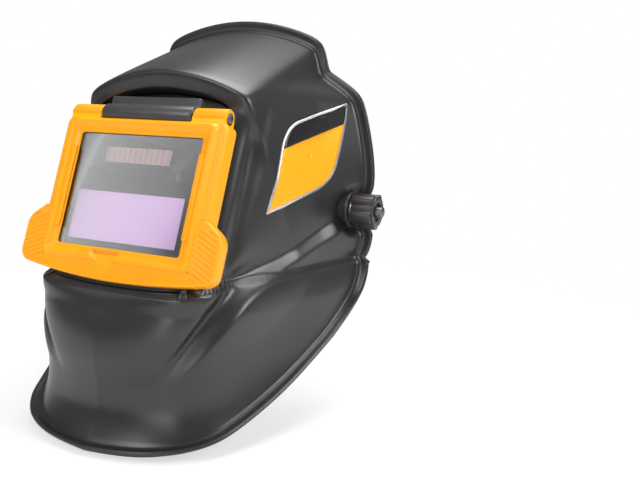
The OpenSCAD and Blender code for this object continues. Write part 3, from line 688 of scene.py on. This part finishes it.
# Outline through rounded corners, drawn as straight edges joined by arcs.
def cornerOutline(corners, steps=12, edgeSteps=14):
    points = np.array([c[:2] for c in corners], float)
    out = []
    for i, corner in enumerate(corners):
        p, a, b = points[i], points[i - 1], points[(i + 1) % len(points)]
        start, end = p + unit(a - p) * corner[2], p + unit(b - p) * corner[2]
        t = np.linspace(0, 1, steps)[:, None]
        out.append((1 - t) ** 2 * start + 2 * t * (1 - t) * p + t ** 2 * end)
        nextStart = b + unit(p - b) * corners[(i + 1) % len(points)][2]
        u = np.linspace(0, 1, edgeSteps + 2)[1:-1, None]
        out.append(end * (1 - u) + nextStart * u)
    return np.concatenate(out)


# Moves a closed outline inwards by a distance along its own normals.
def inset(outline, distance):
    tangent = unit(np.roll(outline, -1, 0) - np.roll(outline, 1, 0))
    normal = np.stack([-tangent[:, 1], tangent[:, 0]], -1)
    return outline + normal * distance


# Thin sheet on the left flank under an outline in (y, z): rings shrink to the middle, and each
# point lies on the shell, lifted along its normal.
def flankSheet(name, outline, lift, material, rings=16):
    middle = outline.mean(0)
    share = np.linspace(1, 0.001, rings)[:, None, None]
    flat = middle + (outline - middle) * share
    start = np.concatenate([np.zeros(flat.shape[:2] + (1,)), flat], -1)
    direction = np.broadcast_to(np.array([1.0, 0, 0]), start.shape)
    surface = start + direction * reachSkin(start, direction, 20, 140)[..., None]
    normal = skinNormal(surface)
    upper = surface + normal * lift
    lower = surface - normal * 0.2
    grid = np.concatenate([lower[::-1], upper])
    return faceOut(gridPiece(name, grid, material, True, True))


stickerOutline = cornerOutline(label["corners"])
printArea = inset(stickerOutline, label["border"])
topCorner, otherTop, bottomCorner = [np.array(label["corners"][k][:2], float) for k in (3, 2, 0)]
topEdge = unit(otherTop - topCorner)
fromTop = np.array([-topEdge[1], topEdge[0]])
fromTop = fromTop * (1 if fromTop @ (bottomCorner - topCorner) > 0 else -1)
depthOf = (printArea - topCorner) @ fromTop
for sheetName, area, lift, material in [("labelBacking", stickerOutline, label["thickness"], labelSilver),
                                        ("labelPrint", printArea, label["thickness"] + 0.06, labelOrange)]:
    place(flankSheet(sheetName, area, lift, material), "shell", slot="shell")
# the header keeps the print area above a line parallel to the sticker's top edge
headerPoints = printArea[depthOf < label["header"]]
order = np.argsort(-np.arctan2(*(headerPoints - headerPoints.mean(0)).T))
headerPoints = headerPoints[order]
place(flankSheet("labelHeader", headerPoints, label["thickness"] + 0.12, labelBlack), "shell", slot="shell")
print("label laid")

# ---------- flip-up holder ----------

holderForm = {
    "notch": (-7.0, -42.0, 12.0, 2.4),          # middle, top, radius and depth of the finger notch
    "ribPitch": 3.2, "ribDepth": 0.8, "ribTilt": radians(24),
    # where the ribs fade in and out, across and up the window
    "ribAcross": (62.0, 63.0, 78.2, 79.0), "ribUp": (-54.5, -53.8, -21.5, -20.5),
}


# Sinks the finger notch: a half disc below its top line.
def notched(x, v, n):
    middle, top, radius, depth = holderForm["notch"]
    below = top - v
    away = np.hypot(x - middle, below * 1.5)
    mask = ease(0, 0.7, below) * (1 - ease(radius - 1.2, radius, away)) * ease(-1, 0.5, n)
    return x, v, n - depth * mask


holderStations = [
    (67, 54.5, 6, -2.5, -12), (67, 54.5, 6, -2.5, -1.5), (65.5, 53, 5, -2.5, 1), (61.6, 50.6, 4.5, 0, 1),
    (59.6, 48.6, 4, 0, 4.5), (57.2, 46.2, 3, 0, 4.5), (54.2, 43.4, 2.5, 0, 2.2),
    (51.2, 40.7, 2, 0, 1.4), (50.5, 40, 2, 0, 0.3),
    (50.8, 40.3, 2, 0, 0.06), (55.5, 45.5, 1, 0, 0.05), (55.5, 45.5, 1, 0, -17), (58.5, 48.5, 4, 0, -17),
    (58.5, 48.5, 4, 0, -12)]
holderFrame = windowLoft("holderFrame", holderStations, 1.0, orangePlastic, sideSteps=110, shape=notched)
place(holderFrame, "front", "holder")


# Bumper: a strip between the frame and the outline of the bottom edge and its two ears; its
# section runs over the front, round the edge and back underneath.
def makeBumper():
    u = np.linspace(0, 1, 40)
    t = np.linspace(0, 90, 24)
    s = np.linspace(0, 48, 14)
    right = np.concatenate([
        np.stack([72 * u, -62 + 6 * u * u], -1),
        np.stack([72 + 8.5 * np.sin(np.radians(t)), -47.5 - 8.5 * np.cos(np.radians(t))], -1)[1:],
        np.stack([np.full(24, 80.5), np.linspace(-47.5, -30, 25)[1:]], -1),
        np.stack([68.5 + 12 * np.cos(np.radians(s)), -30 + 12 * np.sin(np.radians(s))], -1)[1:],
        np.stack([np.linspace(76.5, 67, 12), np.linspace(-21.1, -14, 12)], -1)[1:]])
    line = np.concatenate([(right * [-1, 1])[:0:-1], right])
    length = np.concatenate([[0], np.cumsum(np.linalg.norm(np.diff(line, axis=0), axis=1))])
    even = np.linspace(0, length[-1], 460)
    line = np.stack([np.interp(even, length, line[:, k]) for k in (0, 1)], -1)
    for _ in range(3):
        line[1:-1] = (line[:-2] + 2 * line[1:-1] + line[2:]) / 4
    tangent = unit(np.gradient(line, axis=0))
    normal = np.stack([tangent[:, 1], -tangent[:, 0]], -1)
    inner = np.stack([np.clip(line[:, 0], -60.5, 60.5), np.maximum(line[:, 1], -49.5)], -1)
    # section: share of the way from the inner line to the edge, offset along the normal, height
    over = [(f, -1.6, 2.2) for f in np.linspace(0, 1, 34)]
    edge = [(1, -1.6 + 1.6 * np.sin(a), 0.6 + 1.6 * np.cos(a)) for a in np.linspace(0, pi / 2, 7)[1:]]
    under = [(1, 0, -6.5), (1, -0.6, -8.2), (1, -2.2, -9), (0.5, -1, -9), (0, 0, -9)]
    section = np.array(over + edge + under)
    base = inner[None] * (1 - section[:, 0, None, None]) + line[None] * section[:, 0, None, None]
    base = base + normal[None] * section[:, 1, None, None]
    x, v = base[..., 0], base[..., 1]
    n = np.repeat(section[:, 2:3], x.shape[1], 1)
    # the strip leans back a little towards its lower edge
    n = n - 0.9 * section[:, :1] * ease(-50, -62, v) * (n > -3)
    ax = np.abs(x)
    across = (v * cos(holderForm["ribTilt"]) + ax * sin(holderForm["ribTilt"])) / holderForm["ribPitch"]
    wave = ease(0.25, 0.0, np.abs(across - np.round(across)))
    ribAcross, ribUp = holderForm["ribAcross"], holderForm["ribUp"]
    zone = (ease(*ribAcross[:2], ax) * (1 - ease(*ribAcross[2:], ax))
            * ease(*ribUp[:2], v) * (1 - ease(*ribUp[2:], v)) * (n > 1))
    n = n - holderForm["ribDepth"] * wave * zone
    strip = fromWindow(x, v, n).transpose(1, 0, 2)
    return faceOut(gridPiece("holderBumper", strip, orangePlastic, True, False, True))


place(makeBumper(), "front", slot="holder")


# Rod along the hinge axis with rounded ends, from x0 to x1.
def hingeRod(name, radius, x0, x1, ease_, material):
    at = fromWindow(0, 56, -5)
    stations = [(0.01, x0), (radius, x0), (radius, x1), (0.01, x1)]
    return turnedPiece(name, stations, ease_, tuple(at), (1, 0, 0), material, 48)


for sideName, side in (("Left", 1), ("Right", -1)):
    x0, x1 = sorted((side * 38.2, side * 63.8))
    place(hingeRod("hingeLug" + sideName, 6, x0, x1, 1.0, orangePlastic), "front", slot="holder")
    # web that joins the lug to the frame
    web = windowLoft("lugWeb" + sideName, [(12.8, 5.6, 1.5, 50.5, -11), (12.8, 5.6, 1.5, 50.5, 0.6)], 0.8,
                     orangePlastic, closed=False, sideSteps=6,
                     shape=lambda x, v, n, s=side: (x + 51 * s, v, n))
    place(web, "front", slot="holder")
print("holder built")

# ---------- copies of the CAD nodes with rounded edges ----------

copies = [
    ("windowPlate", "window_plate", 0.5, blackPlastic), ("hingeBlock", "hinge_block", 1.6, hingePlastic),
    ("hingePin", "hinge_pin", 0.3, darkSteel), ("grindWindow", "grind_window", 0.2, clearLens),
    ("windowClipLeft", "window_clip_l", 0.5, blackPlastic),
    ("windowClipRight", "window_clip_r", 0.5, blackPlastic),
    ("restPad", "rest_pad", 0.6, softRubber), ("pivotBossLeft", "boss_l", 0.6, blackPlastic),
    ("pivotBossRight", "boss_r", 0.6, blackPlastic), ("frontLens", "front_lens", 0.2, clearLens),
    ("lensRailLeft", "lens_rail_l", 0.6, orangePlastic), ("lensRailRight", "lens_rail_r", 0.6, orangePlastic),
    ("filterCase", "filter_case", 0.35, casePlastic), ("filterGlass", "filter_glass", 0.2, violetGlass),
    ("sensitivityDial", "sensitivity_knob", 0.2, blackPlastic),
    ("delayDial", "delay_knob", 0.2, blackPlastic),
    ("modeSwitch", "mode_switch", 0.2, nylon), ("innerLens", "inner_lens", 0.2, clearLens),
    ("caseSpring", "case_spring", 0.2, springSteel), ("shadeBase", "shade_base", 0.5, blackPlastic),
    ("shadeDial", "shade_knob", 0.5, blackPlastic), ("headband", "headband", 0.5, strapPlastic),
    ("crownStrapLeft", "crown_strap_l", 0.4, strapPlastic),
    ("crownStrapRight", "crown_strap_r", 0.4, strapPlastic),
    ("foreStrap", "fore_strap", 0.4, strapPlastic), ("armLeft", "arm_l", 0.7, strapPlastic),
    ("armRight", "arm_r", 0.7, strapPlastic), ("armRivetLeft", "arm_rivet_l", 0.3, zincSteel),
    ("armRivetRight", "arm_rivet_r", 0.3, zincSteel), ("boltLeft", "bolt_l", 0.4, darkSteel),
    ("boltRight", "bolt_r", 0.4, darkSteel), ("washerLeft", "washer_l", 0.3, nylon),
    ("washerRight", "washer_r", 0.3, nylon), ("sideKnobLeft", "side_knob_l", 0.8, blackPlastic),
    ("sideKnobRight", "side_knob_r", 0.8, blackPlastic),
    ("ratchetHousing", "ratchet_housing", 0.8, strapPlastic),
    ("ratchetSpindle", "ratchet_spindle", 0.2, nylon), ("ratchetKnob", "ratchet_knob", 0.8, blackPlastic),
]
for pieceName, node, width, material in copies:
    easedCopy(pieceName + "Piece", node, width, material)
plainNodes = {
    "hinge_clip": springSteel, "solar_cell": solarGlass, "sensor_l": sensorGlass, "sensor_r": sensorGlass,
    "spring_washer_l": springSteel, "spring_washer_r": springSteel,
}
for node, material in plainNodes.items():
    nodes[node].data.materials.clear()
    nodes[node].data.materials.append(material)
print("fittings finished")

# ---------- pads of the headgear ----------

pads = {
    "halfAxes": (69.2, 89.2), "halfThick": 1.6, "voxel": 1.7, "cap": 0.75,
    "seamIn": 3.4, "seamWide": 0.9, "seamDepth": 0.5,
    # name: node, first and last angle round the head, half height and fill
    "list": {"sweatPad": ("sweatband", 206.5, 333.5, 15.6, 0.7),
             "napePad": ("rear_pad", 69.5, 110.5, 14.6, 0.6)},
}


def toHead(p):
    slope = headFrame["slope"]
    y, z = p[:, 1] - headFrame["y"], p[:, 2] - headFrame["z"]
    return np.stack([p[:, 0], y * cos(slope) + z * sin(slope), z * cos(slope) - y * sin(slope)], -1)


def pointsOf(piece):
    flat = np.empty(len(piece.data.vertices) * 3)
    piece.data.vertices.foreach_get("co", flat)
    return flat.reshape(-1, 3)


def movePoints(piece, points):
    piece.data.vertices.foreach_set("co", np.ascontiguousarray(points).ravel())
    piece.data.update()


# Swells a closed piece by cloth pressure with no gravity. A point moves by cap * tanh(way / cap),
# so the pad never outgrows the room that it has.
def swell(piece, cap):
    before = pointsOf(piece)
    cloth = piece.modifiers.new("cloth", "CLOTH")
    cloth.settings.use_pressure = True
    cloth.settings.uniform_pressure_force = 4
    cloth.settings.effector_weights.gravity = 0
    for step in range(1, 21):
        scene.frame_set(step)
    applyModifiers(piece)
    way = pointsOf(piece) - before
    length = np.maximum(np.linalg.norm(way, axis=1, keepdims=True), 1e-9)
    movePoints(piece, before + way / length * cap * mm * np.tanh(length / (cap * mm)))
    scene.frame_set(1)


# Foam pad round the inside of the headband: an oval strip that is remeshed, swollen and
# smoothed, then drawn in along a sewn line that follows its edge.
def bandPad(name, node, first, last, halfHeight, fill):
    turn = np.radians(np.linspace(first, last, 90))[:, None]
    section = np.linspace(0, 2 * pi, 56, endpoint=False)[None]
    # superellipse section: thickness and height with the power 2 / 5 of cosine and sine
    across = pads["halfThick"] * np.sign(np.cos(section)) * np.abs(np.cos(section)) ** 0.4
    height = halfHeight * np.sign(np.sin(section)) * np.abs(np.sin(section)) ** 0.4 * np.ones_like(turn)
    a, b = pads["halfAxes"]
    grid = fromHead((a + across) * np.cos(turn), (b + across) * np.sin(turn), height)
    piece = faceOut(gridPiece(name, grid, knitCloth, True, False, True))
    remesh = piece.modifiers.new("remesh", "REMESH")
    remesh.mode, remesh.voxel_size = "VOXEL", pads["voxel"] * mm
    applyModifiers(piece)
    swell(piece, pads["cap"])
    finer = piece.modifiers.new("finer", "SUBSURF")
    finer.levels = finer.render_levels = 1
    applyModifiers(piece)
    local = toHead(pointsOf(piece) / mm)
    scale = np.hypot(local[:, 0] / a, local[:, 1] / b)
    angle = np.degrees(np.arctan2(local[:, 1] / b, local[:, 0] / a)) % 360
    # way to the nearest edge; a degree round the head is about 1.4 mm
    edge = np.minimum(halfHeight - np.abs(local[:, 2]), 1.4 * np.minimum(angle - first, last - angle))
    seam = np.exp(-((edge - pads["seamIn"]) / pads["seamWide"]) ** 2) * pads["seamDepth"]
    drawn = 1 + (scale - 1) * (1 - seam)
    local[:, :2] *= (drawn / scale)[:, None]
    movePoints(piece, fromHead(*local.T) * mm)
    piece.data.polygons.foreach_set("use_smooth", np.ones(len(piece.data.polygons), bool))
    return place(piece, bodyOf(node), node)


for padName, padValues in pads["list"].items():
    bandPad(padName, *padValues)
print("pads swollen")

# ---------- rear straps and shade lead, baked in place ---

# Turns points of the helmet's frame in millimetres into a plain tuple in metres.
def metres(point):
    return tuple(float(c) * mm for c in np.asarray(point).reshape(3))


strapBend = (20.0, 84.0)                        # two distances back along the headband; their points are turned into metres and not used
for sideName, node in (("Left", "rear_strap_l"), ("Right", "rear_strap_r")):
    strap = easedCopy("rearStrap" + sideName, node, 0.35, strapPlastic, ride=False)
    applyModifiers(strap)
    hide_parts(node)
    metres(fromHead(0, strapBend[0], 0))
    metres(fromHead(0, strapBend[1], 0))
    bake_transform(strap)

lead = {
    "radius": 1.6, "start": (-50, 40, -10.9), "hole": (-50, 50.5, -22),
    # across, up and out of the window as far as the hole's back, then in the helmet's frame
    "window": [(-50, 40, -10.9), (-50, 40.1, -14.5), (-50, 41.6, -17.6), (-50, 44.4, -19.05),
               (-50, 48.2, -19.2),
               (-50, 50.5, -20.4), (-50, 50.5, -24.6), (-50.5, 51.5, -28)],
    "shell": [(-58, -80, 62), (-61, -73, 56), (-64, -67, 48), (-66, -61.5, 41.2)], "inside": (11.5, 8.6, 5.0),
}


# Round tube on a Catmull-Rom curve through points, its rings carried along without twist.
def tube(name, route, radius, material, perSpan=8, sides=18):
    p = np.concatenate([route[:1] * 2 - route[1:2], route, route[-1:] * 2 - route[-2:-1]])
    t = np.linspace(0, 1, perSpan, endpoint=False)[None, :, None]
    a, b, c, d = [p[k:len(p) - 3 + k, None] for k in range(4)]
    line = 0.5 * (2 * b + (c - a) * t + (2 * a - 5 * b + 4 * c - d) * t ** 2
                  + (3 * b - a - 3 * c + d) * t ** 3)
    line = np.concatenate([line.reshape(-1, 3), route[-1:]])
    ahead = unit(np.gradient(line, axis=0))
    first = unit(np.cross(ahead, [0.2, 1, 0.1]))
    second = np.cross(ahead, first)
    turn = np.linspace(0, 2 * pi, sides, endpoint=False)[None, :, None]
    ring = first[:, None] * np.cos(turn) + second[:, None] * np.sin(turn)
    return faceOut(gridPiece(name, line[:, None] + ring * radius, material, True, False, True))


insidePoints = [shadeAt - shadeOut * depth for depth in lead["inside"]]
leadRoute = np.concatenate([fromWindow(*np.array(lead["window"], float).T), np.array(lead["shell"], float),
                            np.array(insidePoints)])
leadPiece = tube("shadeLeadTube", leadRoute, lead["radius"], softRubber)
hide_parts("shade_lead")
metres(fromWindow(*lead["hole"]))
metres(fromWindow(*lead["start"]))
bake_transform(leadPiece)

# ---------- floor ----------

low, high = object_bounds()
floorWhite = (0.16, 0.48, 0.62, 1.0)            # near and far distance, and the white share at each
floorMaterial = bpy.data.materials.new("paleFloor")
floorMaterial.use_nodes = True
tree = floorMaterial.node_tree
shader = tree.nodes["Principled BSDF"]
shader.inputs["Base Color"].default_value = studio["floorColour"]
shader.inputs["Roughness"].default_value = 0.9
shader.inputs["Specular IOR Level"].default_value = 0.1
glow = tree.nodes.new("ShaderNodeEmission")
path = tree.nodes.new("ShaderNodeLightPath")
seen = tree.nodes.new("ShaderNodeMath")
seen.operation = "MULTIPLY"
mix = tree.nodes.new("ShaderNodeMixShader")
# the floor keeps its shadow near the helmet and turns into the white backdrop further out
where = tree.nodes.new("ShaderNodeTexCoord")
away = tree.nodes.new("ShaderNodeVectorMath")
away.operation = "LENGTH"
whiteness = tree.nodes.new("ShaderNodeMapRange")
whiteness.inputs["From Min"].default_value, whiteness.inputs["From Max"].default_value = floorWhite[:2]
whiteness.inputs["To Min"].default_value, whiteness.inputs["To Max"].default_value = floorWhite[2:]
tree.links.new(where.outputs["Object"], away.inputs[0])
tree.links.new(away.outputs["Value"], whiteness.inputs["Value"])
tree.links.new(whiteness.outputs[0], seen.inputs[1])
tree.links.new(path.outputs["Is Camera Ray"], seen.inputs[0])
tree.links.new(seen.outputs[0], mix.inputs[0])
tree.links.new(shader.outputs[0], mix.inputs[1])
tree.links.new(glow.outputs[0], mix.inputs[2])
tree.links.new(mix.outputs[0], tree.nodes["Material Output"].inputs["Surface"])
floorMesh = bpy.data.meshes.new("floor")
reach = 30.0
floorMesh.from_pydata([(-reach, -reach, 0), (reach, -reach, 0), (reach, reach, 0), (-reach, reach, 0)],
                      [], [(0, 1, 2, 3)])
floorMesh.materials.append(floorMaterial)
floor = bpy.data.objects.new("floor", floorMesh)
floor.location.z = low.z
scene.collection.objects.link(floor)
print("floor laid")
